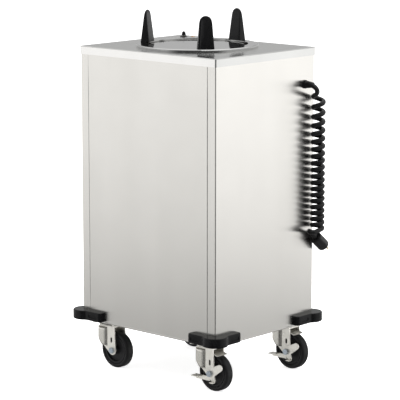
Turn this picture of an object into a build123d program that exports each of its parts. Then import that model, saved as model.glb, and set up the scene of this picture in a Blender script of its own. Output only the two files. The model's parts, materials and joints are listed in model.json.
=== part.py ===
from build123d import *
from math import cos, exp, pi, radians, sin, sqrt, tan
import os

# Heated plate dispenser on four swivel casters. Millimetres, +Z up.
# The origin is on the floor under the middle of the cabinet, and the front is -Y.

os.makedirs("parts", exist_ok=True)

# Cabinet
body_w = 492.0
body_d = 401.0
body_h = 762.0
floor_gap = 130.0
sheet = 1.5
corner_r = 3.0
lid_overhang = 2.5
lid_lip = 22.0
lid_edge_r = 2.0
return_w = 28.5
panel_gap = 0.6
panel_proud = 0.6
panel_flange = 14.0
pan_sheet = 2.5
pan_rise = 30.0
pan_vent_r = 8.0
pan_vent_ring_r = 70.0
pan_vents = 6
seat_gap = 0.2

# Heated well and the ring above it
well_r = 146.0
well_flange_r = 160.0
well_vent_r = 6.0
well_vent_ring_r = 50.0
well_vents = 6
ring_r = 166.0
ring_bore_r = 137.5
ring_rise = 8.0
ring_lip = 15.7
ring_edge_r = 3.4
insulation_gap = 0.3
insulation_wall = 14.0
insulation_margin = 20.0

# Guide posts on the ring
post_angles = (-39.0, 83.4, 202.0)
post_centre_r = 145.0
post_foot_w = 45.0
post_foot_t = 25.0
post_top_w = 32.0
post_top_t = 4.5
post_h = 87.0
post_edge_r = 2.0

# Sprung platform and its carrier
platform_r = 131.0
platform_sheet = 2.0
platform_skirt = 12.0
platform_drop = 4.0
platform_edge_r = 1.5
travel = 450.0
rod_angles = (22.1, 142.1, 262.1)
rod_r = 3.0
rod_centre_r = 139.7
rod_fit = 0.05
eyelet_r = 4.3
eyelet_h = 20.0
spider_hub_r = 42.0
spider_arm_w = 10.0
spider_t = 6.0
leg_turn = 14.0
leg_w = 12.0
leg_t = 4.0
leg_centre_r = 126.0
foot_t = 5.0
foot_clear = 11.3
spring_r = 4.0
spring_free = 150.0
lower_ring_t = 6.0
lower_ring_in_r = 130.0
lower_ring_out_r = 143.0

# Heating element on the floor of the well
heater_centre_r = 100.0
heater_tube_r = 4.0
heater_sweep = 325.0
heater_tail = 24.0
clip_rise = 6.0
clip_w = 12.0
clip_l = 16.0
clip_angles = (60.0, 180.0, 300.0)

# Electrical parts inside the right wall
box_d = 46.0
box_w = 56.0
box_h = 60.0
box_y = 150.0
box_low_z = 700.0
thermostat_d = 34.0
thermostat_w = 40.0
thermostat_h = 46.0
thermostat_below_box = 20.0

# Toggle switch under its rubber boot, and the pilot light beside it
switch_x = -186.0
switch_y = 148.0
switch_body_w = 16.0
switch_body_d = 30.0
switch_body_h = 26.0
switch_below_lid = 2.5
bushing_r = 7.5
bushing_bore_r = 6.0
bushing_fit = 0.1
nut_flat = 19.0
nut_h = 3.5
lever_r = 3.0
lever_pivot_depth = 8.0
lever_ball_r = 5.7
lever_top_rise = 12.0
boot_rise = 5.8
boot_skirt_r = 7.0
boot_waist_r = 5.3
boot_skirt_h = 3.5
boot_h = 12.0
light_x = -151.0
light_y = 148.0
light_body_r = 6.0
light_body_h = 24.0
light_bezel_r = 8.0
light_bezel_h = 2.2
light_lens_r = 5.6
light_lens_h = 4.2

# Casters
wheel_r = 50.8
wheel_w = 26.0
tyre_wall = 12.8
tyre_edge_r = 6.0
hub_rim = 5.0
hub_rim_w = 22.0
hub_web_w = 10.0
hub_boss_r = 13.0
hub_boss_w = 37.0
axle_r = 5.0
axle_fit = 0.05
axle_head_flat = 15.0
axle_head_h = 6.0
caster_in_x = 63.0
caster_in_y = 42.5
trail = 28.0
plate_l = 92.0
plate_w = 60.0
plate_t = 3.0
bolt_spacing_x = 75.0
bolt_spacing_y = 43.0
bolt_r = 4.0
bolt_hole_gap = 0.2
bolt_head_flat = 13.0
bolt_head_h = 5.5
race_r = 27.0
race_h = 8.0
race_edge_r = 2.0
kingpin_r = 6.0
kingpin_head_r = 10.0
kingpin_head_h = 3.0
swivel_gap = 0.3
fork_sheet = 3.0
fork_inner_w = 38.6
fork_front = 26.0
fork_back = 36.0
fork_front_h = 39.0
fork_boss_r = 13.0
fork_edge_r = 9.0
fork_slot_w = 7.0
fork_slot_l = 15.0
fork_slot_x = 25.0
fork_slot_z = 80.0

# Brake on the two casters on the right
lever_sheet = 2.5
lever_gap = 0.4
lever_hub_r = 13.0
lobe_r = 9.0
lobe_x = 34.0
lobe_z = 20.0
tab_x = 13.0
tab_z = -17.0
tab_r = 6.0
tab_out = 10.0
pedal_reach = 50.0
pedal_drop = 14.0
pedal_w = 20.0
pedal_neck_w = 12.0
shoe_gap = 1.4
shoe_sheet = 2.0
shoe_from = 66.0
shoe_to = 108.0

# Corner bumpers
bumper_leg = 84.0
bumper_out = 20.0
bumper_lift = 4.0
bumper_h = 26.0
bumper_bulge_r = 34.0
bumper_bulge_in = 4.0
bumper_notch_r = 8.0
bumper_end_r = 10.0
bumper_edge_r = 3.0
bumper_groove_h = 9.0
bumper_groove_depth = 2.0
bumper_groove_l = 34.0

# Power cord
cord_r = 6.5
gland_y = 160.0
gland_z = 794.0
gland_flange_r = 11.5
gland_flange_t = 4.0
gland_nose_r = 9.5
gland_tip_r = 7.2
gland_nose_l = 8.0
gland_thread_r = 8.0
gland_thread_l = 8.0
coil_x = 270.5
coil_y = 189.0
coil_turn_r = 14.0
coil_start_angle = 240.0
coil_turns = 18.0 + 240.0 / 360.0
coil_top_z = 762.0
coil_first_pitch = 31.0
coil_last_pitch = 16.0
coil_settle = 4.5
plug_r = 17.0
plug_l = 50.0
plug_end_r = 5.0
relief_l = 20.0
relief_r = 9.5
plug_run = 11.0
plug_tip = (264.0, 226.5, 342.5)
plug_slope = 39.0
blade_l = 15.0
blade_w = 6.3
blade_t = 1.6
blade_half_gap = 6.35
pin_r = 2.4
pin_offset = 11.0

# Levels and spans worked out from the sizes above
body_top = floor_gap + body_h
shell_top = body_top - sheet
lid_w = body_w + 2 * lid_overhang
lid_d = body_d + 2 * lid_overhang
front_y = -body_d / 2
side_x = body_w / 2
caster_x = side_x - caster_in_x
caster_y = body_d / 2 - caster_in_y
pan_w = body_w - 2 * sheet - 2 * seat_gap
pan_d = body_d - 2 * sheet - 2 * seat_gap
pan_top = floor_gap + pan_rise
ring_top = body_top + ring_rise
well_in_r = well_r - sheet
platform_top = ring_top - platform_drop
spider_top = platform_top - platform_skirt - spider_t
ring_lip_low = ring_top - ring_lip
spring_low = ring_lip_low - spring_free
well_floor = spring_low - foot_t - travel - foot_clear - lower_ring_t
fork_w = fork_inner_w + 2 * fork_sheet
plate_low = floor_gap - plate_t
race_low = plate_low - race_h
crown_top = race_low - swivel_gap
crown_low = crown_top - fork_sheet
caster_spots = {
    "front_left": (-caster_x, -caster_y),
    "front_right": (caster_x, -caster_y),
    "back_left": (-caster_x, caster_y),
    "back_right": (caster_x, caster_y),
}
braked = ("front_right", "back_right")


def save(piece, name):
    """Label a finished piece and write its file."""
    piece.part.label = name
    export_step(piece.part, f"parts/{name}.step")


def band(inner_r, outer_r, low_z, high_z, mode=Mode.ADD):
    """A ring's section in a sketch of radius against height."""
    with Locations(((inner_r + outer_r) / 2, (low_z + high_z) / 2)):
        Rectangle(outer_r - inner_r, high_z - low_z, mode=mode)


def around(angle, radius):
    """The point at an angle and a radius from the dispenser's axis."""
    return (radius * cos(radians(angle)), radius * sin(radians(angle)))


# Cabinet shell: left side, back, right side and two front returns in one sheet
with BuildPart() as cabinet_shell:
    with BuildSketch(Plane.XY.offset(floor_gap)):
        RectangleRounded(body_w, body_d, corner_r)
        RectangleRounded(body_w - 2 * sheet, body_d - 2 * sheet, corner_r - sheet, mode=Mode.SUBTRACT)
        with Locations((0, front_y)):
            Rectangle(body_w - 2 * return_w, 4 * sheet, mode=Mode.SUBTRACT)
    extrude(amount=shell_top - floor_gap)
    with BuildSketch(Plane.YZ.offset(side_x)):
        with Locations((gland_y, gland_z)):
            Circle(gland_thread_r + bushing_fit)
    extrude(amount=-2 * sheet, mode=Mode.SUBTRACT)
save(cabinet_shell, "cabinet_shell")

# Top pan with a turned-down lip, the well's hole and the two control holes
with BuildPart() as cabinet_top:
    with BuildSketch(Plane.XY.offset(body_top - lid_lip)):
        RectangleRounded(lid_w, lid_d, corner_r + sheet)
    extrude(amount=lid_lip)
    fillet(cabinet_top.faces().sort_by(Axis.Z)[-1].edges(), radius=lid_edge_r)
    with BuildSketch(Plane.XY.offset(body_top - lid_lip)):
        RectangleRounded(lid_w - 2 * sheet, lid_d - 2 * sheet, corner_r)
    extrude(amount=lid_lip - sheet, mode=Mode.SUBTRACT)
    with BuildSketch(Plane.XY.offset(body_top)):
        Circle(well_r + seat_gap)
        with Locations((switch_x, switch_y)):
            Circle(bushing_r + bushing_fit)
        with Locations((light_x, light_y)):
            Circle(light_body_r + bushing_fit)
    extrude(amount=-2 * sheet, mode=Mode.SUBTRACT)
save(cabinet_top, "cabinet_top")

# Front access panel, a shallow channel between the shell's returns
panel_w = body_w - 2 * return_w - 2 * panel_gap
panel_face_y = front_y - panel_proud
with BuildPart() as front_panel:
    with BuildSketch(Plane.XY.offset(floor_gap)):
        with Locations((0, panel_face_y + sheet / 2)):
            Rectangle(panel_w, sheet)
    extrude(amount=shell_top - floor_gap)
    with BuildSketch(Plane.XY.offset(pan_top + sheet)):
        with Locations((0, panel_face_y + panel_flange / 2)):
            Rectangle(panel_w, panel_flange)
            Rectangle(panel_w - 2 * sheet, panel_flange, mode=Mode.SUBTRACT)
    extrude(amount=shell_top - pan_top - sheet)
save(front_panel, "front_panel")

# Base pan that carries the casters
with BuildPart() as base_pan:
    with BuildSketch(Plane.XY.offset(floor_gap)):
        RectangleRounded(pan_w, pan_d, corner_r)
    extrude(amount=pan_rise)
    with BuildSketch(Plane.XY.offset(floor_gap + pan_sheet)):
        RectangleRounded(pan_w - 2 * pan_sheet, pan_d - 2 * pan_sheet, corner_r / 2)
    extrude(amount=pan_rise, mode=Mode.SUBTRACT)
    with BuildSketch(Plane.XY.offset(floor_gap)):
        with PolarLocations(pan_vent_ring_r, pan_vents):
            Circle(pan_vent_r)
        for spot in caster_spots.values():
            with Locations(spot):
                with GridLocations(bolt_spacing_x, bolt_spacing_y, 2, 2):
                    Circle(bolt_r + bolt_hole_gap)
    extrude(amount=pan_sheet, mode=Mode.SUBTRACT)
save(base_pan, "base_pan")

# Heated well, a deep round tub hung from the top pan by its flange
with BuildPart() as heated_well:
    with BuildSketch(Plane.XZ):
        band(well_in_r, well_r, well_floor - sheet, body_top)
        band(well_in_r, well_flange_r, body_top, body_top + sheet)
        band(0, well_r, well_floor - sheet, well_floor)
    revolve(axis=Axis.Z)
    with BuildSketch(Plane.XY.offset(well_floor)):
        with PolarLocations(well_vent_ring_r, well_vents):
            Circle(well_vent_r)
        for turn in (-1, 1):
            with Locations(around(turn * heater_sweep / 2, heater_centre_r)):
                Circle(heater_tube_r + seat_gap)
    extrude(amount=-2 * sheet, mode=Mode.SUBTRACT)
save(heated_well, "heated_well")

# Rolled ring that finishes the well's mouth and carries the guide posts
with BuildPart() as top_ring:
    with BuildSketch(Plane.XZ):
        band(ring_r - sheet, ring_r, body_top, ring_top)
        band(ring_bore_r, ring_r, ring_top - sheet, ring_top)
        band(ring_bore_r, ring_bore_r + sheet, ring_lip_low, ring_top)
    revolve(axis=Axis.Z)
    rim_edges = top_ring.faces().sort_by(Axis.Z)[-1].edges().sort_by(SortBy.LENGTH)
    fillet(rim_edges[-1], radius=ring_edge_r)
    fillet(top_ring.faces().sort_by(Axis.Z)[-1].edges().sort_by(SortBy.LENGTH)[0], radius=sheet / 2)
save(top_ring, "top_ring")

# Fibre blanket round the well
with BuildPart() as well_insulation:
    blanket_r = well_r + insulation_gap
    with BuildSketch(Plane.XZ):
        band(blanket_r, blanket_r + insulation_wall, well_floor, shell_top - insulation_margin)
    revolve(axis=Axis.Z)
save(well_insulation, "well_insulation")

# Guide posts: tapering tongues, wide across the ring and thin towards the tip
for number, angle in enumerate(post_angles, start=1):
    centre = around(angle, post_centre_r)
    across = (-sin(radians(angle)), cos(radians(angle)), 0)
    outward = (cos(radians(angle)), sin(radians(angle)), 0)
    face_plane = Plane(origin=(*centre, ring_top), x_dir=across, z_dir=outward)
    foot_plane = Plane(origin=(*centre, ring_top), x_dir=outward, z_dir=(0, 0, 1))
    with BuildPart() as guide_post:
        with BuildSketch(foot_plane):
            RectangleRounded(post_foot_t, post_foot_w, post_edge_r)
        with BuildSketch(foot_plane.offset(post_h)):
            RectangleRounded(post_top_t, post_top_w, post_edge_r)
        loft()
        tip_r = post_top_w / 2
        with BuildSketch(face_plane):
            with BuildLine():
                shoulder = (tip_r, post_h - tip_r)
                Line((-post_foot_w, 0), (post_foot_w, 0))
                Line((post_foot_w, 0), (post_foot_w, post_h - tip_r))
                Line((post_foot_w, post_h - tip_r), shoulder)
                ThreePointArc(shoulder, (0, post_h), (-tip_r, post_h - tip_r))
                Line((-tip_r, post_h - tip_r), (-post_foot_w, post_h - tip_r))
                Line((-post_foot_w, post_h - tip_r), (-post_foot_w, 0))
            make_face()
        extrude(amount=post_foot_t, both=True, mode=Mode.INTERSECT)
    save(guide_post, f"guide_post_{number}")

# Platform that the plates stand on
with BuildPart() as platform:
    with BuildSketch(Plane.XZ):
        band(0, platform_r, platform_top - platform_sheet, platform_top)
        band(platform_r - platform_sheet, platform_r, platform_top - platform_skirt, platform_top)
    revolve(axis=Axis.Z)
    rim = platform.faces().sort_by(Axis.Z)[-1].edges()
    fillet(rim, radius=platform_edge_r)
save(platform, "plate_platform")

# Carrier under the platform: hub, arms, eyelets on the rods, and legs to the springs' feet
with BuildPart() as carrier:
    with BuildSketch(Plane.XY.offset(spider_top)):
        Circle(spider_hub_r)
        for angle in rod_angles:
            with Locations(Rotation(0, 0, angle) * Pos(rod_centre_r / 2, 0)):
                Rectangle(rod_centre_r, spider_arm_w)
            with Locations(Rotation(0, 0, angle + leg_turn) * Pos(leg_centre_r / 2, 0)):
                Rectangle(leg_centre_r + leg_t, leg_w)
    extrude(amount=spider_t)
    with BuildSketch(Plane.XY.offset(spider_top + spider_t)):
        Circle(spider_hub_r)
    extrude(amount=platform_skirt - platform_sheet)
    with BuildSketch(Plane.XY.offset(spider_top + spider_t - eyelet_h)):
        for angle in rod_angles:
            with Locations(around(angle, rod_centre_r)):
                Circle(eyelet_r)
    extrude(amount=eyelet_h)
    with BuildSketch(Plane.XY.offset(spring_low - foot_t)):
        for angle in rod_angles:
            with Locations(Rotation(0, 0, angle + leg_turn) * Pos(leg_centre_r, 0)):
                Rectangle(leg_t, leg_w)
    extrude(amount=spider_top + spider_t - spring_low + foot_t)
    with BuildSketch(Plane.XY.offset(spring_low - foot_t)):
        for angle in rod_angles:
            foot_reach = rod_centre_r + spring_r - leg_centre_r
            with Locations(Rotation(0, 0, angle + leg_turn) * Pos(leg_centre_r + foot_reach / 2, 0)):
                Rectangle(foot_reach, leg_w)
    extrude(amount=foot_t)
    with BuildSketch(Plane.XY.offset(spider_top + spider_t)):
        for angle in rod_angles:
            with Locations(around(angle, rod_centre_r)):
                Circle(rod_r + rod_fit)
    extrude(amount=-eyelet_h, mode=Mode.SUBTRACT)
save(carrier, "platform_carrier")

# Three rods that the carrier's eyelets slide on
with BuildPart() as guide_rods:
    with BuildSketch(Plane.XY.offset(well_floor)):
        for angle in rod_angles:
            with Locations(around(angle, rod_centre_r)):
                Circle(rod_r)
    extrude(amount=ring_lip_low - well_floor)
save(guide_rods, "guide_rods")

# Ring on the floor of the well that spaces the rods
with BuildPart() as rod_ring:
    with BuildSketch(Plane.XY.offset(well_floor)):
        Circle(lower_ring_out_r)
        Circle(lower_ring_in_r, mode=Mode.SUBTRACT)
        for angle in rod_angles:
            with Locations(around(angle, rod_centre_r)):
                Circle(rod_r + rod_fit, mode=Mode.SUBTRACT)
    extrude(amount=lower_ring_t)
save(rod_ring, "rod_ring")

# Extension springs from the ring's inner lip down to the carrier's feet
with BuildPart() as lift_springs:
    with BuildSketch(Plane.XY.offset(spring_low)):
        for angle in rod_angles:
            with Locations(around(angle + leg_turn, rod_centre_r)):
                Circle(spring_r)
    extrude(amount=spring_free)
save(lift_springs, "lift_springs")

# Heating element: an open ring of tube with both ends through the well's floor
heater_z = well_floor + clip_rise + heater_tube_r
with BuildPart() as heater_element:
    with BuildLine(Plane.XY.offset(heater_z)):
        heater_path = CenterArc((0, 0), heater_centre_r, -heater_sweep / 2, heater_sweep)
    with BuildSketch(Plane(origin=heater_path @ 0, z_dir=heater_path % 0)):
        Circle(heater_tube_r)
    sweep()
    for turn in (-1, 1):
        end = around(turn * heater_sweep / 2, heater_centre_r)
        with Locations((*end, heater_z)):
            Sphere(heater_tube_r)
        with BuildSketch(Plane.XY.offset(heater_z)):
            with Locations(end):
                Circle(heater_tube_r)
        extrude(amount=-heater_tail - clip_rise)
save(heater_element, "heater_element")

# Clips that hold the element clear of the floor
with BuildPart() as heater_clips:
    with BuildSketch(Plane.XY.offset(well_floor)):
        for angle in clip_angles:
            with Locations(Rotation(0, 0, angle) * Pos(heater_centre_r, 0)):
                Rectangle(clip_l, clip_w)
    extrude(amount=clip_rise)
save(heater_clips, "heater_clips")

# Terminal box and thermostat on the inside of the right wall
wall_x = side_x - sheet
with BuildPart() as terminal_box:
    with BuildSketch(Plane.XY.offset(box_low_z)):
        with Locations((wall_x - box_d / 2, box_y)):
            RectangleRounded(box_d, box_w, corner_r)
    extrude(amount=box_h)
save(terminal_box, "terminal_box")

with BuildPart() as thermostat:
    with BuildSketch(Plane.XY.offset(box_low_z - thermostat_below_box - thermostat_h)):
        with Locations((wall_x - thermostat_d / 2, box_y)):
            RectangleRounded(thermostat_d, thermostat_w, corner_r)
    extrude(amount=thermostat_h)
save(thermostat, "thermostat")

# Toggle switch: body and bushing, nut, lever and rubber boot
switch_spot = (switch_x, switch_y)
switch_top = shell_top - switch_below_lid
bushing_top = body_top + nut_h
pivot_z = body_top - lever_pivot_depth
with BuildPart() as switch_body:
    with BuildSketch(Plane.XY.offset(switch_top - switch_body_h)):
        with Locations(switch_spot):
            RectangleRounded(switch_body_w, switch_body_d, sheet)
    extrude(amount=switch_body_h)
    with BuildSketch(Plane.XY.offset(switch_top)):
        with Locations(switch_spot):
            Circle(bushing_r)
    extrude(amount=bushing_top - switch_top)
    with BuildSketch(Plane.XY.offset(bushing_top)):
        with Locations(switch_spot):
            Circle(bushing_bore_r)
    extrude(amount=-(bushing_top - pivot_z + lever_ball_r + seat_gap), mode=Mode.SUBTRACT)
save(switch_body, "switch_body")

with BuildPart() as switch_nut:
    with BuildSketch(Plane.XY.offset(body_top)):
        with Locations(switch_spot):
            RegularPolygon(nut_flat / 2, 6, major_radius=False)
            Circle(bushing_r + rod_fit, mode=Mode.SUBTRACT)
    extrude(amount=nut_h)
save(switch_nut, "switch_nut")

lever_top = body_top + lever_top_rise
with BuildPart() as switch_lever:
    with Locations((*switch_spot, pivot_z)):
        Sphere(lever_ball_r)
    with BuildSketch(Plane.XY.offset(pivot_z)):
        with Locations(switch_spot):
            Circle(lever_r)
    extrude(amount=lever_top - pivot_z)
save(switch_lever, "switch_lever")

boot_low = body_top + boot_rise
with BuildPart() as switch_boot:
    boot_plane = Plane(origin=(*switch_spot, 0), x_dir=(1, 0, 0), z_dir=(0, -1, 0))
    with BuildSketch(boot_plane):
        with BuildLine():
            waist = (boot_waist_r, boot_low + boot_skirt_h)
            dome = (boot_waist_r, boot_low + boot_h - boot_waist_r)
            Line((0, boot_low), (boot_skirt_r, boot_low))
            Line((boot_skirt_r, boot_low), waist)
            Line(waist, dome)
            RadiusArc(dome, (0, boot_low + boot_h), -boot_waist_r)
            Line((0, boot_low + boot_h), (0, boot_low))
        make_face()
    revolve(axis=Axis((*switch_spot, 0), (0, 0, 1)))
    with BuildSketch(Plane.XY.offset(boot_low)):
        with Locations(switch_spot):
            Circle(lever_r)
    extrude(amount=lever_top - boot_low, mode=Mode.SUBTRACT)
save(switch_boot, "switch_boot")

# Pilot light: bezel with its body, and a domed amber lens
with BuildPart() as light_bezel:
    with BuildSketch(Plane.XY.offset(body_top + light_bezel_h)):
        with Locations((light_x, light_y)):
            Circle(light_body_r)
    extrude(amount=-light_body_h - light_bezel_h)
    with BuildSketch(Plane.XY.offset(body_top)):
        with Locations((light_x, light_y)):
            Circle(light_bezel_r)
    extrude(amount=light_bezel_h)
save(light_bezel, "light_bezel")

with BuildPart() as light_lens:
    with BuildSketch(Plane.XY.offset(body_top + light_bezel_h)):
        with Locations((light_x, light_y)):
            Circle(light_lens_r)
    extrude(amount=light_lens_h)
    fillet(light_lens.faces().sort_by(Axis.Z)[-1].edges(), radius=light_lens_h / 2)
save(light_lens, "light_lens")


def side_plane(spot, offset_y=0.0):
    """Upright plane through a caster, seen from the front, at a height from the floor."""
    return Plane(origin=(spot[0], spot[1] + offset_y, 0), x_dir=(1, 0, 0), z_dir=(0, -1, 0))


def wheel_plane(spot):
    """Section of a wheel: along its axle against radius."""
    return Plane(origin=(spot[0] + trail, spot[1], wheel_r), x_dir=(0, 1, 0), z_dir=(1, 0, 0))


def wheel_axis(spot):
    return Axis((spot[0] + trail, spot[1], wheel_r), (0, 1, 0))


def wheel_band(inner_r, outer_r, width):
    """A ring of the wheel, centred across its width."""
    with Locations((0, (inner_r + outer_r) / 2)):
        Rectangle(width, outer_r - inner_r)


# Casters: top plate with its race and kingpin, fork, axle, hub and tyre
tyre_in_r = wheel_r - tyre_wall
head_half = fork_w / 2
for corner, spot in caster_spots.items():
    with BuildPart() as caster_plate:
        with BuildSketch(Plane(origin=(*spot, plate_low))):
            RectangleRounded(plate_l, plate_w, corner_r)
            with GridLocations(bolt_spacing_x, bolt_spacing_y, 2, 2):
                Circle(bolt_r + bolt_hole_gap, mode=Mode.SUBTRACT)
        extrude(amount=plate_t)
        with BuildSketch(Plane(origin=(*spot, race_low))):
            Circle(race_r)
        extrude(amount=race_h)
        fillet(caster_plate.faces().sort_by(Axis.Z)[0].edges(), radius=race_edge_r)
        with BuildSketch(Plane(origin=(*spot, race_low))):
            Circle(kingpin_r)
        extrude(amount=-(race_low - crown_low) - swivel_gap)
        with BuildSketch(Plane(origin=(*spot, crown_low - swivel_gap))):
            Circle(kingpin_head_r)
        extrude(amount=-kingpin_head_h)
    save(caster_plate, f"caster_plate_{corner}")

    with BuildPart() as caster_fork:
        with BuildSketch(side_plane(spot)):
            with Locations(((fork_back - fork_front) / 2, crown_top - fork_front_h / 2)):
                Rectangle(fork_front + fork_back, fork_front_h)
            with Locations((trail, wheel_r)):
                Circle(fork_boss_r)
            make_hull()
        extrude(amount=fork_w / 2, both=True)
        front_edges = caster_fork.faces().sort_by(Axis.X)[0].edges().filter_by(Axis.Z)
        fillet(front_edges, radius=fork_edge_r)
        with BuildSketch(side_plane(spot)):
            with Locations((fork_sheet - fork_front, 0)):
                Rectangle(trail + wheel_r + fork_front, crown_low, align=(Align.MIN, Align.MIN))
        extrude(amount=fork_inner_w / 2, both=True, mode=Mode.SUBTRACT)
        with BuildSketch(Plane(origin=(*spot, crown_top))):
            Circle(kingpin_r + axle_fit)
        extrude(amount=-2 * fork_sheet, mode=Mode.SUBTRACT)
        with BuildSketch(side_plane(spot)):
            with Locations((trail, wheel_r)):
                Circle(axle_r + axle_fit)
            with Locations((fork_slot_x, fork_slot_z)):
                SlotOverall(fork_slot_l, fork_slot_w, rotation=90)
        extrude(amount=fork_w, both=True, mode=Mode.SUBTRACT)
    save(caster_fork, f"caster_fork_{corner}")

    lever_space = lever_sheet + 2 * lever_gap if corner in braked else 0
    front_head = head_half + lever_space
    with BuildPart() as caster_axle:
        with BuildSketch(side_plane(spot, -front_head)):
            with Locations((trail, wheel_r)):
                RegularPolygon(axle_head_flat / 2, 6, major_radius=False)
        extrude(amount=axle_head_h)
        with BuildSketch(side_plane(spot, -front_head)):
            with Locations((trail, wheel_r)):
                Circle(axle_r)
        extrude(amount=-front_head - head_half)
        with BuildSketch(side_plane(spot, head_half)):
            with Locations((trail, wheel_r)):
                RegularPolygon(axle_head_flat / 2, 6, major_radius=False)
        extrude(amount=-axle_head_h)
    save(caster_axle, f"caster_axle_{corner}")

    with BuildPart() as wheel_hub:
        with BuildSketch(wheel_plane(spot)):
            wheel_band(axle_r + axle_fit, hub_boss_r, hub_boss_w)
            wheel_band(hub_boss_r, tyre_in_r, hub_web_w)
            wheel_band(tyre_in_r - hub_rim, tyre_in_r, hub_rim_w)
        revolve(axis=wheel_axis(spot))
    save(wheel_hub, f"wheel_hub_{corner}")

    with BuildPart() as wheel_tyre:
        with BuildSketch(wheel_plane(spot)) as tyre_section:
            wheel_band(tyre_in_r, wheel_r, wheel_w)
            tread_corners = tyre_section.vertices().group_by(Axis.Z)[-1]
            fillet(tread_corners, radius=tyre_edge_r)
        revolve(axis=wheel_axis(spot))
    save(wheel_tyre, f"wheel_tyre_{corner}")

# Bolts that fasten the four caster plates to the base pan
with BuildPart() as caster_bolts:
    for spot in caster_spots.values():
        with BuildSketch(Plane(origin=(*spot, plate_low))):
            with GridLocations(bolt_spacing_x, bolt_spacing_y, 2, 2):
                RegularPolygon(bolt_head_flat / 2, 6, major_radius=False)
        extrude(amount=-bolt_head_h)
        with BuildSketch(Plane(origin=(*spot, plate_low))):
            with GridLocations(bolt_spacing_x, bolt_spacing_y, 2, 2):
                Circle(bolt_r)
        extrude(amount=plate_t + pan_sheet)
        with BuildSketch(Plane(origin=(*spot, floor_gap + pan_sheet))):
            with GridLocations(bolt_spacing_x, bolt_spacing_y, 2, 2):
                RegularPolygon(bolt_head_flat / 2, 6, major_radius=False)
        extrude(amount=bolt_head_h)
save(caster_bolts, "caster_bolts")

# Brakes: a pressed lever on the axle, with a pedal, and a shoe strip over the tread
lever_out = head_half + lever_gap + lever_sheet
for corner in braked:
    spot = caster_spots[corner]
    with BuildPart() as brake_lever:
        with BuildSketch(side_plane(spot, lever_sheet - lever_out)):
            with Locations((trail, wheel_r)):
                Circle(lever_hub_r)
            with Locations((trail + lobe_x, wheel_r + lobe_z)):
                Circle(lobe_r)
            make_hull()
        extrude(amount=lever_sheet)
        with BuildSketch(side_plane(spot, lever_sheet - lever_out)):
            with Locations((trail, wheel_r)):
                Circle(lever_hub_r)
            with Locations((trail + tab_x, wheel_r + tab_z)):
                Circle(tab_r)
            make_hull()
        extrude(amount=lever_sheet)
        with BuildSketch(side_plane(spot, lever_sheet - lever_out)):
            with Locations((trail - pedal_reach / 2, wheel_r - pedal_drop)):
                Rectangle(pedal_reach, pedal_neck_w)
        extrude(amount=lever_sheet)
        pedal_top = wheel_r - pedal_drop + pedal_neck_w / 2
        with BuildSketch(Plane(origin=(spot[0] + trail - pedal_reach, spot[1] - lever_out, pedal_top))):
            with Locations((pedal_reach / 4, -pedal_w / 2)):
                Rectangle(pedal_reach / 2, pedal_w)
        extrude(amount=-lever_sheet)
        with BuildSketch(side_plane(spot, -lever_out)):
            with Locations((trail + tab_x, wheel_r + tab_z - tab_r + lever_sheet / 2)):
                Rectangle(tab_r * 2, lever_sheet)
        extrude(amount=tab_out)
        with BuildSketch(side_plane(spot)):
            with Locations((trail, wheel_r)):
                Circle(axle_r + axle_fit)
        extrude(amount=lever_out + tab_out, mode=Mode.SUBTRACT)
    save(brake_lever, f"brake_lever_{corner}")

    shoe_in_r = wheel_r + shoe_gap
    with BuildPart() as brake_shoe:
        with BuildSketch(side_plane(spot)):
            with Locations((trail, wheel_r)):
                Circle(shoe_in_r + shoe_sheet)
                Circle(shoe_in_r, mode=Mode.SUBTRACT)
            with BuildLine():
                edges_at = [
                    (trail + 2 * wheel_r * cos(radians(angle)), wheel_r + 2 * wheel_r * sin(radians(angle)))
                    for angle in (shoe_from, shoe_to)
                ]
                Polyline((trail, wheel_r), *edges_at, close=True)
            make_face(mode=Mode.INTERSECT)
        extrude(amount=fork_inner_w / 2 - seat_gap, both=True)
    save(brake_shoe, f"brake_shoe_{corner}")

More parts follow.
